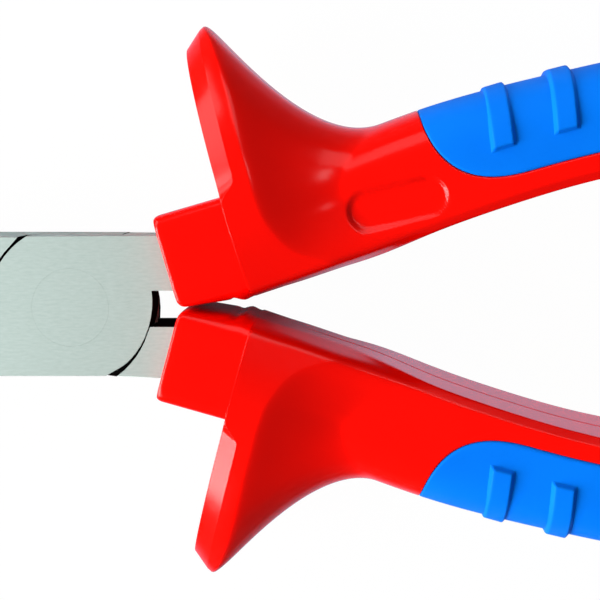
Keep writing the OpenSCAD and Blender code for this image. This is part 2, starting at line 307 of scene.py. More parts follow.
def collar_section(s, w, cut=0.0):
    sizes = w, inner_side(s) + cut, COLLAR_OUT - middle(s) - OUTER_CUT * cut, COLLAR_HALF - FACE_CUT * cut
    softer = mix(COLLAR_SOFT, 1, clamp((s - COLLAR_S) / COLLAR_L))
    return [mix(sharp, soft, softer) for sharp, soft in zip(
        section(*sizes, BOX, BOX), section(*sizes, SOFT_BOX, BOX))]


def grip_section(s, w):
    close = clamp((s - (END_S - END_ROUND)) / END_ROUND)
    shrink = np.sqrt(1 - END_CLOSE * close * close)
    inner, outer = inner_side(s) * shrink, (GRIP_SIDE - taper(s)) * shrink
    return section(w, inner, outer, GRIP_HALF * shrink, "bevel", CUSHION)


print("half thickness of collar and grip:", COLLAR_HALF, GRIP_HALF)

# %% Section of the guard
GUARD_H = 26.85
GUARD_HALF = 12.9
GUARD_TIP = 3.0
GUARD_CHAMFER = 1.15
TIP_EASE = 0.22
GUARD_FALL = 0.22
GUARD_FALL_N = 4.0
GUARD_FALL_EASE = 3


def guard_section(s, w, cut=0.0):
    """The tall section: its tip is chamfered in front, and its face falls towards the inner edge."""
    left = 1 - (s - GUARD_S) / GUARD_TIP
    chamfer = GUARD_CHAMFER * (left + np.sqrt(left * left + TIP_EASE ** 2)) / 2
    n, z = section(w, inner_side(s) + cut, GUARD_H - chamfer - cut, GUARD_HALF - cut, "guard", OVAL)
    inward = (GUARD_FALL_N - n + np.hypot(GUARD_FALL_N - n, GUARD_FALL_EASE)) / 2
    return n, z * (1 - GUARD_FALL * inward / (GUARD_FALL_N + GRIP_INNER))


print("guard's tip at n:", guard_section(GUARD_S + GUARD_TIP, np.array([0.0]))[0].round(2))

# %% [markdown]
# The guard ends in a ridge that slants across the face, and the scoop starts there. A crease that crosses
# the mesh lines would look ragged, so the lines bend with it: each line has its own place s for every point
# w of the ring. In front, a bevel runs along the free part of the rim and closes up where the collar covers
# it.

# %% Ridge and scoop
RIDGE_N = [-6.9, -5.3, -3.7, -1.4, 1, 1.7, 3.5, 5.7, 8.4, 11, 14, 17, 21, 24.8, 26.6]
RIDGE_PLACE = [11, 10.3, 7.0, 5.2, 4.3, 4.0, 3.75, 3.6, 3.65, 3.6, 3.7, 3.8, 3.65, 3.2, 2.5]
RIDGE_WINDOW = 45
RIDGE_PROBE = 5
FINE_N = np.linspace(-12, 32, 881)
RIDGE_SMOOTH = moving_mean(np.interp(FINE_N, RIDGE_N, RIDGE_PLACE), RIDGE_WINDOW)
RIDGE_EASE = 0.06
TIP_RIDGE_EASE = 0.045
TIP_W = 0.4
GUARD_SWEEP, GUARD_POWER = 17.5, 2
FACE_SWEEP, FACE_POWER = 9.3, 1.35


def ridge(w):
    """Where the sweep starts, how long it is, and its power."""
    flat = np.sin(w * math.pi / 2) ** 2
    start = GUARD_S + np.interp(guard_section(GUARD_S + RIDGE_PROBE, w)[0], FINE_N, RIDGE_SMOOTH)
    return start, mix(GUARD_SWEEP, FACE_SWEEP, flat), mix(GUARD_POWER, FACE_POWER, flat)


def swept(s, w):
    """Section beyond the ridge: the guard fades into the grip, with the ridge itself eased."""
    start, run, power = ridge(w)
    f = clamp((s - start) / run)
    crest = mix(TIP_RIDGE_EASE, RIDGE_EASE, ease(w / TIP_W))
    eased = (np.hypot(f, crest) - crest) / (np.hypot(1, crest) - crest)
    return s, *[mix(g, h, (1 - eased) ** power) for g, h in zip(grip_section(s, w), guard_section(s, w))]


print("ridge from outer to inner edge:", (ridge(np.linspace(0, 2, 5))[0] - GUARD_S).round(2))

# %% Bevel of the guard's rim
RIM_BEVEL, TIGHT_BEVEL = 2.1, 0.04
RIM_DROP, TIGHT_DROP = 0.6, 0.015
RIM_LEAD, RIM_RUN = 0.8, 1.7


def rim_bevel(w):
    """Width and drop of the bevel along the rim's front edge: full where it is free, tight at the collar."""
    past_collar = guard_section(GUARD_S, w)[0] - (COLLAR_OUT - middle(GUARD_S))
    free = ease((past_collar + RIM_LEAD) / RIM_RUN)
    return mix(TIGHT_BEVEL, RIM_BEVEL, free), mix(TIGHT_DROP, RIM_DROP, free)


print("rim's bevel from outer to inner edge:", rim_bevel(np.linspace(0, 2, 5))[0].round(2))

# %% [markdown]
# The insert's front edge is a deep curve across the face. Cutting it out with a boolean would leave thin
# triangles, so the mesh lines slant along with that edge, and each one crosses it once. The pocket's wall
# then follows the lines by itself.

# %% Slanted mesh lines
INSERT_S = GUARD_S + 24.6
INSERT_END_S = INSERT_S + 64.8
SLANT = 9.0
SLANT_TOP = 1.25
SLANT_FRONT, SLANT_BACK = -1.0, 0.6
SLANT_GAIN = (SLANT_BACK - SLANT_FRONT) / (INSERT_END_S - INSERT_S)


def slant(w):
    rising = np.sin(np.minimum(w / SLANT_TOP, 1) * math.pi / 2)
    falling = np.cos(clamp((w - SLANT_TOP) / (2 - SLANT_TOP)) * math.pi / 2) ** 2
    return SLANT * np.where(w < SLANT_TOP, rising, falling)


def slanted(at, w):
    """Place s on the slanted line that meets the handle's outer edge at the place named at."""
    return at + slant(w) * (SLANT_FRONT + SLANT_GAIN * (at - INSERT_S))


print("insert from", round(INSERT_S, 2), "to", round(INSERT_END_S, 2))

# %% Edge of the insert
INSERT_ROUND = 11.3
INSERT_POWER = 2.5
INSERT_EDGE = -3.72
BOUNDARY_STEPS = 400
END_STEPS = np.array([0, 0.03, 0.08, 0.15])
FRONT_FROM, FRONT_TO, FRONT_STEP = 0.25, 17, 0.24
MIDDLE_FROM, MIDDLE_TO, MIDDLE_COUNT = 17.2, 12.2, 44
BACK_FROM, BACK_TO, BACK_STEP = 12, 0.2, 0.35


def w_at(n):
    """Where on the grip's face the offset n lies."""
    share, across, _ = QUARTERS[CUSHION]
    outer = np.interp(-n / GRIP_SIDE, -across, share)
    share, across, _ = QUARTERS["bevel"]
    inner = 2 - np.interp(n / GRIP_INNER, -across, share)
    return np.where(n >= 0, outer, inner)


def insert_boundary(fit):
    """The insert's edge as places at on the slanted lines, and w there."""
    reach, edge = INSERT_ROUND - fit, INSERT_EDGE + fit
    share = np.sin(np.linspace(0, math.pi / 2, BOUNDARY_STEPS))
    n = GRIP_SIDE - (GRIP_SIDE - edge) * share
    along = reach * (1 - (1 - share ** INSERT_POWER) ** (1 / INSERT_POWER))
    s = np.concatenate([INSERT_S + fit + along, (INSERT_END_S - fit - along)[::-1]])
    w = w_at(np.concatenate([n, n[::-1]]))
    lean = slant(w)
    at = (s - lean * (SLANT_FRONT - SLANT_GAIN * INSERT_S)) / (1 + lean * SLANT_GAIN)
    return at, w


def insert_lines(fit):
    """Where the slanted lines over the insert start, and w of the insert's edge on each."""
    at, w = insert_boundary(fit)
    first, last = at[0], at[-1]
    places = np.concatenate([
        first + END_STEPS, np.arange(first + FRONT_FROM, first + FRONT_TO, FRONT_STEP),
        np.linspace(first + MIDDLE_FROM, last - MIDDLE_TO, MIDDLE_COUNT),
        np.arange(last - BACK_FROM, last - BACK_TO, BACK_STEP), last - END_STEPS[::-1]])
    return places, np.interp(places, at, w)


print("lines over the insert:", len(insert_lines(0.0)[0]))

# %% [markdown]
# The sleeve is skinned over lines that run round it, one behind the other: the collar's rounded front, the
# collar, the step out to the guard, the rim's bevel, the strip up to the ridge, and the scoop. Even spacing
# would waste points, so the lines crowd where the shape turns. Each line is a function of w that gives the
# place s and the section's n and z there.

# %% Lines of the sleeve in front of the insert
EDGE_ROUND = 0.8
COLLAR_EDGE_LINES = 6
COLLAR_LINES = 25
BEFORE_GUARD = 0.02
STEP_SHARES = 0.06, 0.4, 0.8
RIM_SHARES = 0, 0.03, 0.08, 0.2, 0.4, 0.6, 0.8, 0.95, 0.985, 1
STRIP_SHARES = 0.03, *np.linspace(0, 1, 10)[1:]
SCOOP_LINES, SCOOP_CROWD = 60, 1.25
BEFORE_INSERT = 0.4


def collar_edge(angle):
    s, cut = COLLAR_S + EDGE_ROUND * (1 - math.cos(angle)), EDGE_ROUND * (1 - math.sin(angle))
    return lambda w: (np.full_like(w, s), *collar_section(s, w, cut))


def collar_line(f):
    s = mix(COLLAR_S + EDGE_ROUND, GUARD_S - BEFORE_GUARD, f)
    return lambda w: (np.full_like(w, s), *collar_section(s, w))


def step_line(f):
    def line(w):
        ends = zip(collar_section(GUARD_S, w), guard_section(GUARD_S, w, rim_bevel(w)[1]))
        return np.full_like(w, GUARD_S), *[mix(c, g, f) for c, g in ends]
    return line


def rim_line(f):
    def line(w):
        length, drop = rim_bevel(w)
        s = GUARD_S + length * f
        return s, *guard_section(s, w, drop * (1 - f))
    return line


def strip_line(f):
    def line(w):
        s = mix(GUARD_S + rim_bevel(w)[0], ridge(w)[0], f)
        return s, *guard_section(s, w)
    return line


def scoop_line(f):
    return lambda w: swept(mix(ridge(w)[0], slanted(INSERT_S - BEFORE_INSERT, w), f), w)


FRONT_LINES = [
    *map(collar_edge, np.linspace(0, math.pi / 2, COLLAR_EDGE_LINES)),
    *map(collar_line, np.linspace(0, 1, COLLAR_LINES)[1:]),
    *map(step_line, STEP_SHARES),
    *map(rim_line, RIM_SHARES),
    *map(strip_line, STRIP_SHARES),
    *map(scoop_line, (np.arange(1, SCOOP_LINES + 1) / SCOOP_LINES) ** SCOOP_CROWD),
]
print("lines before the insert:", len(FRONT_LINES))

# %% [markdown]
# Every line is measured along its curve, and points are set on it at even distances, closer at the inner
# bevel and at the parting line. Where the insert lies, the first points of the ring drop into its pocket.
# In front of the insert those points fall together, and merging doubles closes the pocket's wall without
# extra faces.

# %% Points along a line
BODY_POINTS = 104
POCKET_POINTS = 5
LIP_REACH = np.array([0.0, 0.06, 0.14, 0.26])
LIP_DROP = np.array([0.2, 0.08, 0.02, 0.0])
DENSE_W = np.linspace(0, 2, 500)
BEVEL_CROWD, BEVEL_AT, BEVEL_REACH = 3, 8.6, 0.9
PARTING_CROWD, PARTING_REACH = 4, 0.35


def measured(line):
    s, n, z = line(DENSE_W)
    x, y = beside(s, n)
    return np.concatenate([[0], np.cumsum(np.sqrt(np.diff(x) ** 2 + np.diff(y) ** 2 + np.diff(z) ** 2))])


def body_places(length, start):
    inward = length[-1] - length
    crowd = (1 + BEVEL_CROWD * hump(inward - BEVEL_AT, BEVEL_REACH)
             + PARTING_CROWD * hump(inward, PARTING_REACH))
    weight = np.concatenate([[0], np.cumsum((crowd[1:] + crowd[:-1]) / 2 * np.diff(length))])
    first = np.interp(start, length, weight)
    return np.interp(np.linspace(first, weight[-1], BODY_POINTS + 1)[1:], weight, DENSE_W)


def half_ring(line, edge_w, depth, lipped):
    """Places w of half a ring and how far each point drops; depth 0 with lips keeps the lips' places only."""
    length = measured(line)
    edge_l = np.interp(edge_w, DENSE_W, length)
    pocket_w = np.linspace(0, edge_w, POCKET_POINTS)
    lip_w = np.interp(edge_l + LIP_REACH, length, DENSE_W) if lipped else np.zeros(len(LIP_REACH))
    body_w = body_places(length, edge_l + LIP_REACH[-1] if lipped else 0.0)
    drop = np.concatenate([
        np.full(POCKET_POINTS, depth), LIP_DROP * (depth > 0), np.zeros(BODY_POINTS)])
    return np.concatenate([pocket_w, lip_w, body_w]), drop


print("points on half a ring:", len(half_ring(FRONT_LINES[0], 0.0, 0.0, False)[0]))

# %% [markdown]
# Small features are pressed into the finished surface: a shallow bare recess on the face, the fine parting
# line along the inner wall, and a dent with a lip where collar and guard meet in the mould. Bump in the
# material could fake them, but it has no outline from the side. Moving points gives real shape at no extra
# faces.

# %% Pressed features
SINK_POWER = 4
RECESS_HALF = 2.25
RECESS_DEPTH = 0.38
RECESS_EDGE = 0.52
RECESS_S = GUARD_S + np.array([15.85, 22.95])
RECESS_SHIFT = np.array([-1.9, -2.83])
PARTING_DEPTH = 0.13
PARTING_HALF = 0.17
PARTING_FROM, PARTING_RUN = 4, 6
WALL_W, WALL_EASE = 1.5, 0.12
NOTCH = (0.26, 19.6, 0.4), (-0.15, 20.8, 0.5)


def sunk(n, z, w, drop):
    """Moves points of a section inwards by drop."""
    face = np.sin(np.minimum(w, 1) * math.pi / 2) ** SINK_POWER
    return n - drop * (1 - face) * np.sign(n), z - drop * np.where(w > 1, 1, face)


def with_wall_marks(s, n, z, w):
    """The parting line behind the guard, and the notch: depth, place and reach of its dent and lip."""
    fade = ease((s - GUARD_S - PARTING_FROM) / PARTING_RUN) * (w > WALL_W)
    n = n + PARTING_DEPTH * hump(z, PARTING_HALF) * fade
    notch = sum(depth * hump(s - at, reach) for depth, at, reach in NOTCH)
    return n + notch * ease((w - WALL_W) / WALL_EASE)


def with_recess(x, y, z):
    ends = np.stack(beside(RECESS_S, RECESS_SHIFT), 1)
    start, run = ends[0], ends[1] - ends[0]
    along = clamp(((x - start[0]) * run[0] + (y - start[1]) * run[1]) / (run @ run))
    away = np.hypot(x - start[0] - along * run[0], y - start[1] - along * run[1])
    return z - RECESS_DEPTH * ease((RECESS_HALF + RECESS_EDGE / 2 - away) / RECESS_EDGE) * (z > GRIP_HALF / 2)


print("recess on the face from", RECESS_S.round(2)[0], "to", RECESS_S.round(2)[1])

# %% Rings of the sleeve
POCKET_DEPTH = 1.3
TAIL_LINES = 22
END_LINES = 15


def sleeve_ring(line, edge_w=0.0, depth=0.0, lipped=False):
    w, drop = half_ring(line, edge_w, depth, lipped)
    s, n, z = line(w)
    n, z = sunk(n, z, w, drop)
    x, y = beside(s, with_wall_marks(s, n, z, w))
    front = np.stack([x, y, with_recess(x, y, z)], 1)
    back = np.stack([x, y, -z], 1)[-2:0:-1]
    return np.concatenate([front, back])


def insert_line(at):
    return lambda w: swept(slanted(at, w), w)


def tail_line(f, last):
    return lambda w: swept(mix(slanted(last, w), END_S - END_ROUND, f), w)


def end_line(angle):
    s = END_S - END_ROUND * (1 - math.sin(angle))
    return lambda w: (np.full_like(w, s), *grip_section(s, w))


def sleeve_rings():
    places, edges = insert_lines(0.0)
    first, last = places[0], places[-1]
    rings = [sleeve_ring(line) for line in FRONT_LINES]
    rings.append(sleeve_ring(insert_line(first), lipped=True))
    rings += [sleeve_ring(insert_line(at), e, POCKET_DEPTH, True) for at, e in zip(places, edges)]
    rings.append(sleeve_ring(insert_line(last), lipped=True))
    rings += [sleeve_ring(tail_line(f, last)) for f in np.linspace(0, 1, TAIL_LINES)[1:]]
    rings += [sleeve_ring(end_line(a)) for a in np.linspace(0, math.pi / 2, END_LINES)[1:]]
    return rings


rings = sleeve_rings()
print("rings of a sleeve:", len(rings), "with", len(rings[0]), "points each")

# %% [markdown]
# Now the red sleeves themselves. Rings can be skinned by Bridge Edge Loops, but writing the faces from the
# point numbers is faster and always gives the same order. The mesh is then merged, its normals are turned
# outwards, and its open edges are counted, which has to give none.

# %% Sleeves
MERGE = 2e-6
SLIVER = 1e-7


def on_tool(points, lower=False):
    """From the handle's frame to the tool's, in metres; the lower handle is the upper one turned over."""
    c, q = math.cos(SPLAY), math.sin(SPLAY)
    x, y = points[:, 0] * c - points[:, 1] * q, points[:, 0] * q + points[:, 1] * c
    sign = -1 if lower else 1
    return np.stack([x, sign * y, sign * points[:, 2] + HALF_HEAD], 1) * MM


def lofted_mesh(name, rings, capped=True):
    """Skins the rings in order. A hub closes each end, unless the end ring already falls together."""
    count, last = len(rings[0]), (len(rings) - 1) * len(rings[0])
    points = np.concatenate(rings)
    pairs = [(i, (i + 1) % count) for i in range(count)]
    faces = [(a + i, a + count + i, a + count + j, a + j) for a in range(0, last, count) for i, j in pairs]
    if capped:
        hub = len(points)
        points = np.concatenate([points, [rings[0].mean(0), rings[-1].mean(0)]])
        faces += [cap for i, j in pairs for cap in ((hub, i, j), (hub + 1, last + j, last + i))]
    mesh = bpy.data.meshes.new(name)
    mesh.from_pydata(points.tolist(), [], faces)
    shape = bmesh.new()
    shape.from_mesh(mesh)
    bmesh.ops.remove_doubles(shape, verts=shape.verts, dist=MERGE)
    bmesh.ops.dissolve_degenerate(shape, dist=SLIVER, edges=shape.edges)
    bmesh.ops.recalc_face_normals(shape, faces=shape.faces)
    for face in shape.faces:
        face.smooth = True
    opened = sum(1 for e in shape.edges if len(e.link_faces) != 2)
    shape.to_mesh(mesh)
    shape.free()
    print(name, "faces", len(mesh.polygons), "open edges", opened)
    return mesh


def placed(mesh):
    piece = bpy.data.objects.new(mesh.name, mesh)
    bpy.context.scene.collection.objects.link(piece)
    return piece


sleeves = {
    side: placed(lofted_mesh(f"{side}_sleeve_moulding", [on_tool(r, side == "lower") for r in rings]))
    for side in ("upper", "lower")}

# %% [markdown]
# The soft insert lies in the pocket, flush with the red, and wraps round the outer edge onto the back face.
# A second colour on the sleeve would look the same from afar, but the real one is a separate moulding. Its
# edge is eased, so that a fine dark line shows between the two colours.

# %% Inserts
INSERT_FIT = 0.05
INSERT_DEPTH = 1.15
INSERT_LIP = 0.32
INSERT_LIP_DROP = 0.17
TOP_POINTS, TOP_CROWD = 46, 1.25
LOW_POINTS = 4
SIDE_DROPS = np.array([0.35, 0.75, INSERT_DEPTH])


def insert_ring(at, edge_w):
    line = insert_line(at)
    length = measured(line)
    edge_l = np.interp(edge_w, DENSE_W, length)
    top_l = edge_l * (1 - (1 - np.linspace(0, 1, TOP_POINTS)) ** TOP_CROWD)
    lip = clamp(1 - (edge_l - top_l) / INSERT_LIP)
    top_w = np.interp(top_l, length, DENSE_W)
    low_w = np.linspace(edge_w, 0, LOW_POINTS + 1)[1:]
    w = np.concatenate([top_w, np.full(len(SIDE_DROPS), edge_w), low_w])
    drop = np.concatenate([INSERT_LIP_DROP * lip ** 2, SIDE_DROPS, np.full(LOW_POINTS, INSERT_DEPTH)])
    s, n, z = line(w)
    n, z = sunk(n, z, w, drop)
    front = np.stack([*beside(s, n), z], 1)
    return np.concatenate([front, front[-2:0:-1] * [1, 1, -1]])


rings = [insert_ring(at, e) for at, e in zip(*insert_lines(INSERT_FIT))]
inserts = {
    side: placed(lofted_mesh(f"{side}_soft_insert", [on_tool(r, side == "lower") for r in rings], False))
    for side in ("upper", "lower")}

# %% [markdown]
# Six ribs stand on each insert and wrap over its outer edge. They are all the same block, so only one is
# lofted, with its sloping flanks, and Geometry Nodes set copies of it along the bow. An Array modifier
# could repeat it, but not turn it with the bow. Count, pitch and radius are inputs of the tree. The result
# is turned into a plain mesh, because an export drops instances.

# %% One rib
RIB_COUNT = 6
RIB_W = 3.1
RIB_PITCH = 7.45
RIB_FROM_GUARD = 32.85
RIB_FIRST = GUARD_S + RIB_FROM_GUARD - APEX_S
RIB_S = APEX_S + RIB_FIRST + 2 * RIB_PITCH
RIB_END = -0.35
RIB_LEAN = 0.155
RIB_H = 0.62
RIB_FLANK = 0.5
RIB_SINK = 0.3
RIB_ACROSS = np.array([-1, -0.92, -0.82, -0.72, -0.64, -0.5, -0.2, 0.2, 0.5, 0.64, 0.72, 0.82, 0.92, 1])
RIB_POINTS, RIB_CROWD = 34, 1.6


def rib_block():
    end_w = float(w_at(np.array([RIB_END]))[0])
    w = end_w * (1 - (1 - np.linspace(0, 1, RIB_POINTS)) ** RIB_CROWD)
    n, z = grip_section(RIB_S, w)
    from_end = np.concatenate([np.cumsum(np.hypot(np.diff(n), np.diff(z))[::-1])[::-1], [0]])
    low = np.stack(sunk(n, z, w, np.full_like(w, RIB_SINK)), 1)[::-1]
    rings = []
    for x in RIB_W / 2 * RIB_ACROSS:
        rise = RIB_H * ease((RIB_W / 2 - abs(x)) / RIB_FLANK) * ease(from_end / RIB_FLANK)
        front = np.concatenate([np.stack(sunk(n, z, w, -rise), 1), low])
        ring = np.concatenate([front, front[-2:0:-1] * [1, -1]])
        rings.append(np.column_stack([x + RIB_LEAN * (ring[:, 0] - RIB_END), ring]) * MM)
    return lofted_mesh("rib_block", rings)


print("ribs lie from", round(RIB_FIRST, 2), "past the bow's top, every", RIB_PITCH)

# %% Points along the bow
TURN = "rib_turn"


def math_node(tree, kind, *values):
    """A Math node of this kind; each value is a socket or a plain number."""
    made = tree.nodes.new("ShaderNodeMath")
    made.operation = kind
    for socket, value in zip(made.inputs, values):
        if isinstance(value, float):
            socket.default_value = value
        else:
            tree.links.new(value, socket)
    return made.outputs[0]


def vector_node(tree, **axes):
    made = tree.nodes.new("ShaderNodeCombineXYZ")
    for axis, value in axes.items():
        tree.links.new(value, made.inputs[axis])
    return made.outputs[0]


def points_on_bow(tree, sizes):
    """A row of points with the ribs' pitch, bent onto the bow; each point keeps its turn as an attribute."""
    node, link = tree.nodes.new, tree.links.new
    line, split = node("GeometryNodeMeshLine"), node("ShaderNodeSeparateXYZ")
    link(sizes["Rib count"], line.inputs["Count"])
    link(vector_node(tree, X=sizes["First rib"]), line.inputs["Start Location"])
    link(vector_node(tree, X=sizes["Rib pitch"]), line.inputs["Offset"])
    link(node("GeometryNodeInputPosition").outputs[0], split.inputs[0])
    radius = sizes["Bow radius"]
    angle = math_node(tree, "DIVIDE", split.outputs["X"], radius)
    turn = node("GeometryNodeStoreNamedAttribute")
    turn.data_type = "FLOAT"
    turn.inputs["Name"].default_value = TURN
    link(line.outputs["Mesh"], turn.inputs["Geometry"])
    link(angle, turn.inputs["Value"])
    run = math_node(tree, "MULTIPLY", radius, math_node(tree, "SINE", angle))
    height = math_node(tree, "MULTIPLY", radius, math_node(tree, "COSINE", angle))
    bend = node("GeometryNodeSetPosition")
    link(turn.outputs["Geometry"], bend.inputs["Geometry"])
    link(vector_node(tree, X=run, Y=math_node(tree, "SUBTRACT", height, radius)), bend.inputs["Position"])
    return bend.outputs["Geometry"]


print("bow's radius in mm:", BOW_R)

# %% Tree that sets the ribs
RIB_INPUTS = {
    "Geometry": "NodeSocketGeometry", "Rib count": "NodeSocketInt", "Rib pitch": "NodeSocketFloat",
    "First rib": "NodeSocketFloat", "Bow radius": "NodeSocketFloat", "Finish": "NodeSocketMaterial"}


def rib_tree():
    tree = bpy.data.node_groups.new("ribs_along_bow", "GeometryNodeTree")
    for name, kind in RIB_INPUTS.items():
        tree.interface.new_socket(name, in_out="INPUT", socket_type=kind)
    tree.interface.new_socket("Geometry", in_out="OUTPUT", socket_type="NodeSocketGeometry")
    node, link = tree.nodes.new, tree.links.new
    inputs, output = node("NodeGroupInput"), node("NodeGroupOutput")
    stored = node("GeometryNodeInputNamedAttribute")
    stored.data_type = "FLOAT"
    stored.inputs["Name"].default_value = TURN
    turned_back = math_node(tree, "MULTIPLY", stored.outputs["Attribute"], -1.0)
    copies, real = node("GeometryNodeInstanceOnPoints"), node("GeometryNodeRealizeInstances")
    finish = node("GeometryNodeSetMaterial")
    link(points_on_bow(tree, inputs.outputs), copies.inputs["Points"])
    link(inputs.outputs["Geometry"], copies.inputs["Instance"])
    link(vector_node(tree, Z=turned_back), copies.inputs["Rotation"])
    link(copies.outputs["Instances"], real.inputs["Geometry"])
    link(real.outputs["Geometry"], finish.inputs["Geometry"])
    link(inputs.outputs["Finish"], finish.inputs["Material"])
    link(finish.outputs["Geometry"], output.inputs["Geometry"])
    return tree


print("inputs of the rib tree:", list(RIB_INPUTS))

# %% Row of ribs as a plain mesh
def rib_row(finish):
    host = placed(rib_block())
    row = host.modifiers.new("ribs", "NODES")
    row.node_group = rib_tree()
    sizes = {"Rib count": RIB_COUNT, "Rib pitch": RIB_PITCH * MM, "First rib": RIB_FIRST * MM,
             "Bow radius": BOW_R * MM, "Finish": finish}
    for item in row.node_group.interface.items_tree:
        if item.in_out == "INPUT" and item.name in sizes:
            row[item.identifier] = sizes[item.name]
    bpy.context.view_layer.update()
    seen = host.evaluated_get(bpy.context.evaluated_depsgraph_get())
    mesh = bpy.data.meshes.new_from_object(seen)
    bpy.data.objects.remove(host)
    return mesh


def rib_piece(row, side):
    mesh = row.copy()
    mesh.name = f"{side}_insert_ribs"
    onto_handle = Matrix.Rotation(SPLAY, 4, "Z") @ Matrix.Translation(Vector((APEX_S, APEX_T, 0)) * MM)
    turned = Matrix.Rotation(math.pi, 4, "X") if side == "lower" else Matrix.Identity(4)
    mesh.transform(Matrix.Translation((0, 0, HALF_HEAD * MM)) @ turned @ onto_handle)
    piece = placed(mesh)
    print(piece.name, "faces", len(mesh.polygons))
    return piece


print("ribs on each insert:", RIB_COUNT)

# %% [markdown]
# Every finish is one Principled shader fed by small noise patterns. Image textures would need unwrapping
# and files. Noise on Object coordinates stays on the piece from any side, at its true scale. Plain numbers
# sit on the shader's own sockets.

# %% Helpers for a finish
def fed_node(tree, kind, value, socket, numbers=()):
    """A node of this kind, fed by a value at one socket, with plain numbers at others."""
    made = tree.nodes.new(kind)
    for name, number in dict(numbers).items():
        made.inputs[name].default_value = number
    tree.links.new(value, made.inputs[socket])
    return made


class Finish:
    def __init__(self, name):
        self.material = bpy.data.materials.new(name)
        self.material.use_nodes = True
        self.tree = self.material.node_tree
        self.shader = self.tree.nodes["Principled BSDF"]
        self.coords = self.tree.nodes.new("ShaderNodeTexCoord").outputs["Object"]

    def pattern(self, scale, detail=3.0, rough=0.55):
        spaced = fed_node(self.tree, "ShaderNodeMapping", self.coords, "Vector", {"Scale": scale})
        noise = fed_node(self.tree, "ShaderNodeTexNoise", spaced.outputs["Vector"], "Vector",
                         {"Scale": 1.0, "Detail": detail, "Roughness": rough})
        return noise.outputs["Fac"]

    def colour(self, value, dark, light, low=0.3, high=0.7):
        made = fed_node(self.tree, "ShaderNodeValToRGB", value, "Fac")
        for stop, place, tint in zip(made.color_ramp.elements, (low, high), (dark, light)):
            stop.position, stop.color = place, (*tint, 1)
        self.tree.links.new(made.outputs["Color"], self.shader.inputs["Base Color"])

    def roughness(self, value, low, high):
        made = fed_node(self.tree, "ShaderNodeMapRange", value, "Value", {"To Min": low, "To Max": high})
        self.tree.links.new(made.outputs["Result"], self.shader.inputs["Roughness"])

    def bump(self, height, strength, distance):
        made = fed_node(
            self.tree, "ShaderNodeBump", height, "Height", {"Strength": strength, "Distance": distance})
        self.tree.links.new(made.outputs["Normal"], self.shader.inputs["Normal"])

    def plain(self, socket, number):
        self.shader.inputs[socket].default_value = number


print("a finish has:", [name for name in vars(Finish) if not name.startswith("_")])

# %% [markdown]
# The joint's faces are ground, with fine marks along the tool and a cool grey colour. A mirror metal with
# scratches would show the room. High roughness and a noise that is stretched along X give the even satin.
# The head's sides are left as forged: paler, coarser and less metallic.

# %% Steel finishes
steel = Finish("ground_steel")
grain = steel.pattern(scale=(900, 3600, 3600), rough=0.6)
steel.colour(grain, dark=(0.40, 0.476, 0.448), light=(0.447, 0.526, 0.5))
steel.roughness(steel.pattern(scale=(60, 160, 160), detail=2.0), low=0.68, high=0.73)
steel.bump(grain, strength=0.03, distance=0.00004)
steel.plain("Metallic", 1.0)

forged = Finish("forged_side")
scale_marks = forged.pattern(scale=(500, 500, 500), detail=4.0, rough=0.6)
forged.colour(scale_marks, dark=(0.38, 0.57, 0.53), light=(0.48, 0.67, 0.63))
forged.roughness(scale_marks, low=0.4, high=0.55)
forged.bump(scale_marks, strength=0.15, distance=0.0001)
forged.plain("Metallic", 0.3)
print("steel finishes:", steel.material.name, forged.material.name)

# %% [markdown]
# The gaps of the joint lie in deep shade and look black. Leaving them as bare steel would need deep shadow
# to turn dark, so they get a nearly black finish with hardly any shine, as painted shade.

# %% Painted shade of the gaps
# Painted shade: a nearly black finish stands in for the deep shadow inside the joint's gaps.
gap = Finish("painted_gap_shade")
speck = gap.pattern(scale=(900, 900, 900))
gap.colour(speck, dark=(0.001, 0.001, 0.001), light=(0.003, 0.003, 0.003))
gap.roughness(speck, low=0.6, high=0.85)
gap.plain("Specular IOR Level", 0.02)
print("gap finish:", gap.material.name)

# %% [markdown]
# The sleeve is a glossy hard plastic in a full red, with soft clouds of colour and a faint orange peel that
# breaks up its highlights. The insert is a matt rubber with a fine grain. A clear coat could give the gloss
# too, but plain low roughness is what moulded plastic has.

# %% Red plastic and blue rubber
red = Finish("red_plastic")
peel = red.pattern(scale=(900, 900, 900), detail=2.0)
red_cloud = red.pattern(scale=(70, 70, 70), detail=2.0)
red.colour(red_cloud, dark=(0.86, 0.0018, 0.0001), light=(0.91, 0.0025, 0.0002))
red.roughness(peel, low=0.13, high=0.2)
red.bump(peel, strength=0.06, distance=0.00006)
red.plain("Specular IOR Level", 0.25)

blue = Finish("blue_rubber")
fine_grain = blue.pattern(scale=(2600, 2600, 2600))
blue_cloud = blue.pattern(scale=(80, 80, 80), detail=2.0)
blue.colour(blue_cloud, dark=(0.0003, 0.16, 0.78), light=(0.0006, 0.185, 0.86))
blue.roughness(fine_grain, low=0.5, high=0.66)
blue.bump(fine_grain, strength=0.25, distance=0.00005)
blue.plain("Specular IOR Level", 0.04)
print("handle finishes:", red.material.name, blue.material.name)

# %% [markdown]
# The handles get their finishes, ride on their bodies and stand for the CAD nodes. Parenting them by hand
# would do for one pose; here each piece is parented in code to the empty of its body. The upper handle
# belongs to the front half, the lower one to the back half.

# %% Dress the handles
BODY = {"upper": "front_body", "lower": "back_body"}
row = rib_row(blue.material)
for side, body in BODY.items():
    sleeve, insert, ribs = sleeves[side], inserts[side], rib_piece(row, side)
    sleeve.data.materials.append(red.material)
    insert.data.materials.append(blue.material)
    for piece, slot in ((sleeve, "sleeve_red"), (insert, "insert_blue"), (ribs, "insert_blue")):
        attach(piece, body)
    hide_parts(f"{side}_grip_sleeve")
    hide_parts(f"{side}_grip_insert")
print("handles dressed")

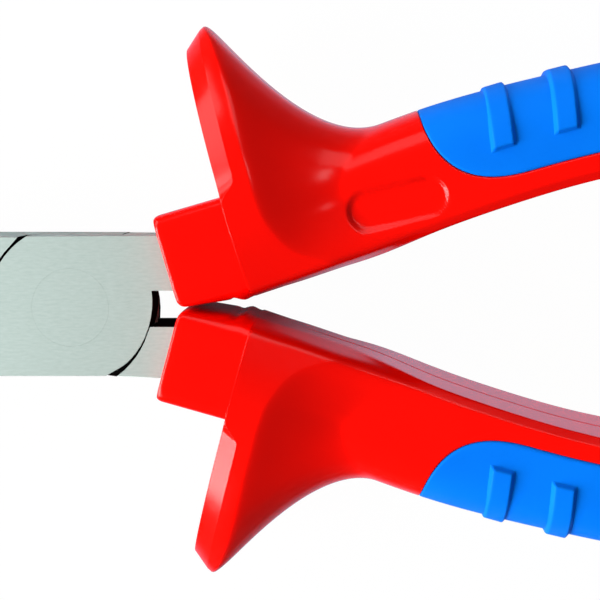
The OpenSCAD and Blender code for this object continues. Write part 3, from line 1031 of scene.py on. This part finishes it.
# %% [markdown]
# A real joint is fitted by hand: the front lap is ground back towards its lower side, the pocket round it
# closes up, both halves meet flush along the top, and the rivet is peened out to fill its hole. The CAD
# nodes are never changed, so this is done on copies. A lattice would bend everything near it, so only the
# points that lie on those faces move.

# %% Fitting of the joint
NEAR = 0.03
LAP_R, POCKET_R = 10.1, 10.4
LAP_TRIM = [-60, -45, -13, 13, 40], [-0.85, -0.52, -0.28, 0.12, 0]
POCKET_TRIM = [-60, -45, -13, 0], [-0.3, -0.42, -0.5, 0]
LAP_FOOT_Y = -8
RIVET_HEAD, RIVET_NEAR, RIVET_PEEN = 4.7, 0.02, 0.024
WINDOW_FROM_X, WINDOW_TO_X = 8, 14
WINDOW_HALF, WINDOW_NEAR, WINDOW_DROP = 2.2, 0.05, 0.18
WINDOW_END_HALF, WINDOW_END_TOP = 2.6, 4.9
WINDOW_END_BACK, WINDOW_END_LEAN = 0.68, 0.1
BACK_TOP, BACK_TOP_JAW, BACK_TOP_JOINT, BACK_STEP_X = 8.35, 8.75, 8.6, -10
FRONT_TOP, FRONT_TOP_JOINT, FRONT_TOP_TANG, FRONT_STEP_X = 8.65, 8.56, 8.47, 8
FRONT_TOP_FROM_X, FRONT_TOP_UNDER_Z = 5, 5.1


def fitted_reach(node, reach, turn):
    """Distance from the rivet's axis after fitting, at a turn in degrees about it."""
    if node == "pivot_rivet" and abs(reach - RIVET_HEAD) < RIVET_NEAR:
        return reach + RIVET_PEEN
    if node == "front_half" and abs(reach - LAP_R) < NEAR:
        return reach + float(np.interp(turn, *LAP_TRIM))
    if node == "back_half" and abs(reach - POCKET_R) < NEAR:
        return reach + float(np.interp(turn, *POCKET_TRIM))
    return reach


def fitted(x, y, z, node):
    reach, turn = math.hypot(x, y), math.degrees(math.atan2(y, x))
    new = fitted_reach(node, reach, turn)
    fit = new / reach if reach else 1.0
    fx, fy = x * fit, y * fit
    front, back, on_lap = node == "front_half", node == "back_half", abs(reach - LAP_R) < NEAR
    if front and on_lap and y < LAP_FOOT_Y:
        fx, fy = math.sqrt(new * new - y * y), y
    if WINDOW_FROM_X < x < WINDOW_TO_X and abs(abs(y) - WINDOW_HALF) < WINDOW_NEAR:
        fy = y - WINDOW_DROP
    if back and on_lap and x > WINDOW_FROM_X and abs(y) < WINDOW_END_HALF and z < WINDOW_END_TOP:
        fx = x - WINDOW_END_BACK - WINDOW_END_LEAN * y
    if back and abs(y - BACK_TOP) < NEAR:
        fx, fy = x, BACK_TOP_JAW if x < BACK_STEP_X else BACK_TOP_JOINT
    if front and abs(y - FRONT_TOP) < NEAR and z < FRONT_TOP_UNDER_Z and x > FRONT_TOP_FROM_X:
        fy = FRONT_TOP_JOINT if x < FRONT_STEP_X else FRONT_TOP_TANG
    return fx, fy, z


print("lap and pocket radius in mm:", LAP_R, POCKET_R)

# %% [markdown]
# The steel halves and the rivet are those fitted copies. A ground forging has no knife-sharp corners, so
# the hard edges get a fine bevel. The Bevel modifier would also round the tight walls of the joint, so the
# edges are picked in code. Walls in the joint's gaps get the nearly black finish as painted shade, and
# the head's sides get the forged finish.

# %% Steel halves and rivet
STEEL_BEVEL, BEVEL_ROUND = 0.08, 0.6
FLAT_ANGLE, HARD_ANGLE, SHARP_ANGLE = math.radians(0.6), math.radians(28), math.radians(35)
BEVEL_FROM_Y, BEVEL_FROM_R = 8, 11
GAP_MIDDLE, GAP_REACH = 0.2, 0.45
WALL_UP, SIDE_UP, FACE_UP = 0.3, 0.8, 0.999
WINDOW_DARK_X = 13.5
SIDE_FROM_Y = 7.5
STEEL_FINISHES = steel.material, gap.material, forged.material


def stands_free(vert):
    return abs(vert.co.y) > BEVEL_FROM_Y * MM or math.hypot(vert.co.x, vert.co.y) > BEVEL_FROM_R * MM


def steel_finish(face):
    """Number of the finish: 0 ground, 1 painted shade of the gaps, 2 forged side."""
    at, up = face.calc_center_median() / MM, face.normal
    upright = abs(up.z) < WALL_UP
    in_lap = abs(math.hypot(at.x, at.y) - LAP_R - GAP_MIDDLE) < GAP_REACH
    in_window = WINDOW_FROM_X < at.x < WINDOW_DARK_X and abs(at.y) < WINDOW_END_HALF
    # Upright walls in the lap's gap and in the window get finish 1, painted shade.
    if upright and (in_lap or in_window):
        return 1
    return 2 if abs(up.y) > SIDE_UP and abs(at.y) > SIDE_FROM_Y else 0


def steel_mesh(node):
    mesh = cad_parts[node].data.copy()
    mesh.name = node + "_forging"
    mesh.materials.clear()
    for material in STEEL_FINISHES:
        mesh.materials.append(material)
    shape = bmesh.new()
    shape.from_mesh(mesh)
    bmesh.ops.remove_doubles(shape, verts=shape.verts, dist=MERGE)
    bmesh.ops.dissolve_limit(shape, angle_limit=FLAT_ANGLE, verts=shape.verts, edges=shape.edges)
    for vert in shape.verts:
        vert.co = Vector(fitted(*(vert.co / MM), node)) * MM
    hard = [e for e in shape.edges if len(e.link_faces) == 2 and e.calc_face_angle() > HARD_ANGLE
            and all(stands_free(v) for v in e.verts)]
    bmesh.ops.bevel(shape, geom=hard, offset=STEEL_BEVEL * MM, segments=2, profile=BEVEL_ROUND,
                    affect="EDGES", clamp_overlap=True)
    for face in shape.faces:
        face.material_index = steel_finish(face)
        face.smooth = True
    shape.to_mesh(mesh)
    shape.free()
    mesh.set_sharp_from_angle(angle=SHARP_ANGLE)
    for face in mesh.polygons:
        face.use_smooth = abs(face.normal.z) < FACE_UP
    return mesh


for node, body in (("front_half", "front_body"), ("back_half", "back_body"), ("pivot_rivet", "back_body")):
    piece = placed(steel_mesh(node))
    even = piece.modifiers.new("even_shading", "WEIGHTED_NORMAL")
    even.keep_sharp = True
    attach(piece, body)
    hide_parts(node)
    print(piece.name, "faces", len(piece.data.polygons))

# %% [markdown]
# The narrow gap round the front lap lies in deep shade, so it reads as a black line that widens downwards.
# The gap alone would let light in, and painting a line on the face would not follow the opening joint. So a
# thin dark crescent lies just under the face, between the lap's edge and the pocket's wall, as painted shade.

# %% Painted shade in the lap's gap
GAP_SHADE_STEPS = 40
GAP_SHADE_FROM_TURN = -14
GAP_SHADE_LOW_Z, GAP_SHADE_TOP_Z = 9.2, 9.7
GAP_SHADE_CLEAR = 0.02
GAP_SHADE_SIDES = (-63.2, LAP_R + GAP_SHADE_CLEAR, LAP_TRIM), (-57.2, POCKET_R - GAP_SHADE_CLEAR, POCKET_TRIM)


def gap_shade_ring(share):
    corners = []
    for end_turn, radius, trim in GAP_SHADE_SIDES:
        turn = mix(GAP_SHADE_FROM_TURN, end_turn, share)
        reach, angle = radius + np.interp(turn, *trim), math.radians(turn)
        corners.append((reach * math.cos(angle), reach * math.sin(angle)))
    lap, pocket = corners
    low, top = GAP_SHADE_LOW_Z, GAP_SHADE_TOP_Z
    return np.array([[*lap, low], [*pocket, low], [*pocket, top], [*lap, top]]) * MM


# Painted shade: a dark crescent just under the face fills the lap's gap.
piece = placed(lofted_mesh("lap_gap_painted_shade", [gap_shade_ring(share) for share in np.linspace(0, 1, GAP_SHADE_STEPS)]))
piece.data.materials.append(gap.material)
for face in piece.data.polygons:
    face.use_smooth = False
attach(piece, "back_body")

# %% [markdown]
# The floor is plain white and lies just under the tool. More lamps could burn it white, but they would wash
# out the red as well. So it glows at strength 1 for the camera, and keeps a little matt white for the
# shadow. Glossy surfaces see that glow too, in a pale lavender, between the handles and just beside them.
# That gives the inner walls the sheen of the photograph and leaves the faces deep red.

# %% Floor
FLOOR_Z = cad_box[0].z - 0.05 * MM
FLOOR_HALF = 3.0
FLOOR_MATT = 0.93, 0.93, 0.93, 1
FLOOR_GLOW = 1, 1, 1, 1
MIRRORED_GLOW = 0.95, 0.75, 1.0, 1
GLOW_SHARE = 0.985
RANGE_SOCKETS = "From Min", "From Max", "To Min", "To Max"
PAST_LOWER_GRIP = -0.045, -0.03, 0.0, 1.0
UP_TO_UPPER_GRIP = 0.006, 0.010, 1.0, 0.1
BEHIND_COLLARS = 0.024, 0.04, 0.06, 0.7
PAST_MIDDLE = 0.013, 0.018, 0.0, 0.6
UP_TO_OUTSIDE = 0.035, 0.06, 1.0, 0.05


def mirrored_level(tree):
    """How strongly each place of the floor shows in glossy surfaces."""
    split = fed_node(tree, "ShaderNodeSeparateXYZ", tree.nodes.new("ShaderNodeTexCoord").outputs["Object"], 0)
    x, y = split.outputs["X"], split.outputs["Y"]
    away = math_node(tree, "ABSOLUTE", y)

    def ranged(value, ends):
        made = fed_node(tree, "ShaderNodeMapRange", value, "Value", zip(RANGE_SOCKETS, ends))
        return made.outputs["Result"]

    between = math_node(tree, "MULTIPLY", ranged(y, PAST_LOWER_GRIP), ranged(y, UP_TO_UPPER_GRIP))
    inner = math_node(tree, "MULTIPLY", ranged(x, BEHIND_COLLARS), between)
    outer = math_node(tree, "MULTIPLY", ranged(away, PAST_MIDDLE), ranged(away, UP_TO_OUTSIDE))
    return math_node(tree, "MAXIMUM", inner, outer)


def floor_white():
    material = bpy.data.materials.new("floor_white")
    material.use_nodes = True
    tree = material.node_tree
    tree.nodes.clear()
    node, link = tree.nodes.new, tree.links.new
    out, both = node("ShaderNodeOutputMaterial"), node("ShaderNodeMixShader")
    matt, glow = node("ShaderNodeBsdfDiffuse"), node("ShaderNodeEmission")
    path, tint = node("ShaderNodeLightPath"), node("ShaderNodeMix")
    glossy = path.outputs["Is Glossy Ray"]
    seen = math_node(tree, "MAXIMUM", path.outputs["Is Camera Ray"], path.outputs["Is Transmission Ray"])
    mirrored = math_node(tree, "MULTIPLY", glossy, mirrored_level(tree))
    matt.inputs["Color"].default_value = FLOOR_MATT
    tint.data_type = "RGBA"
    tint.inputs["A"].default_value, tint.inputs["B"].default_value = FLOOR_GLOW, MIRRORED_GLOW
    link(glossy, tint.inputs["Factor"])
    link(tint.outputs["Result"], glow.inputs["Color"])
    link(math_node(tree, "MAXIMUM", seen, mirrored), glow.inputs["Strength"])
    share = math_node(tree, "MAXIMUM", seen, glossy)
    link(math_node(tree, "MULTIPLY", share, GLOW_SHARE), both.inputs["Fac"])
    link(matt.outputs[0], both.inputs[1])
    link(glow.outputs[0], both.inputs[2])
    link(both.outputs[0], out.inputs["Surface"])
    return material


mesh = bpy.data.meshes.new("studio_floor")
r, z = FLOOR_HALF, FLOOR_Z
mesh.from_pydata([(-r, -r, z), (r, -r, z), (r, r, z), (-r, r, z)], [], [(0, 1, 2, 3)])
mesh.materials.append(floor_white())
floor = placed(mesh)
print("floor at", round(FLOOR_Z / MM, 2))

# %% [markdown]
# The room is a quiet grey that the camera sees as white, so the flat red faces stay deep in colour. One
# large softbox on the left is the key light and draws the pale band along the lower guard's rim. A fill, a
# small strip and a window above soften the shadows and give the upper grip its glints. A bright world could
# light it all, but it would leave no highlights on the rounded edges.

# %% Room and lamps
ROOM_LEVEL = 0.11
SEEN_LEVEL = 1.0
LAMPS = {  # name: place, target and size in metres, and watts
    "left_softbox": ((-0.76, -0.22, 0.45), (0.03, 0, 0), (0.58, 0.64), 15.7),
    "left_fill": ((-0.66, 0.42, 0.45), (0.03, 0, 0), (0.5, 0.55), 3.2),
    "low_left_strip": ((-0.45, -0.43, 0.42), (0.02, -0.02, 0), (0.22, 0.36), 1.0),
    "small_top_strip": ((0.26, 0.27, 0.61), (0.03, 0.01, 0), (0.12, 0.05), 0.13),
    "top_window": ((0.05, 0.6, 0.55), (0.03, 0.01, 0), (0.6, 0.4), 1.3),
}


def make_room():
    world = bpy.data.worlds.new("quiet_room")
    bpy.context.scene.world = world
    world.use_nodes = True
    tree = world.node_tree
    path, back = tree.nodes.new("ShaderNodeLightPath"), tree.nodes["Background"]
    seen = math_node(tree, "MAXIMUM", path.outputs["Is Camera Ray"], path.outputs["Is Transmission Ray"])
    strength = fed_node(
        tree, "ShaderNodeMapRange", seen, "Value", {"To Min": ROOM_LEVEL, "To Max": SEEN_LEVEL})
    back.inputs["Color"].default_value = (1, 1, 1, 1)
    tree.links.new(strength.outputs["Result"], back.inputs["Strength"])


def softbox(name, place, target, size, power):
    data = bpy.data.lights.new(name, "AREA")
    data.shape = "RECTANGLE"
    data.size, data.size_y = size
    data.energy = power
    lamp = bpy.data.objects.new(name, data)
    lamp.location = place
    lamp.rotation_euler = (Vector(target) - Vector(place)).to_track_quat("-Z", "Y").to_euler()
    bpy.context.scene.collection.objects.link(lamp)


make_room()
for name, sizes in LAMPS.items():
    softbox(name, *sizes)

# %% [markdown]
# Last comes the plain picture setting.

# %% Finish
bpy.context.scene.view_settings.view_transform = "Standard"
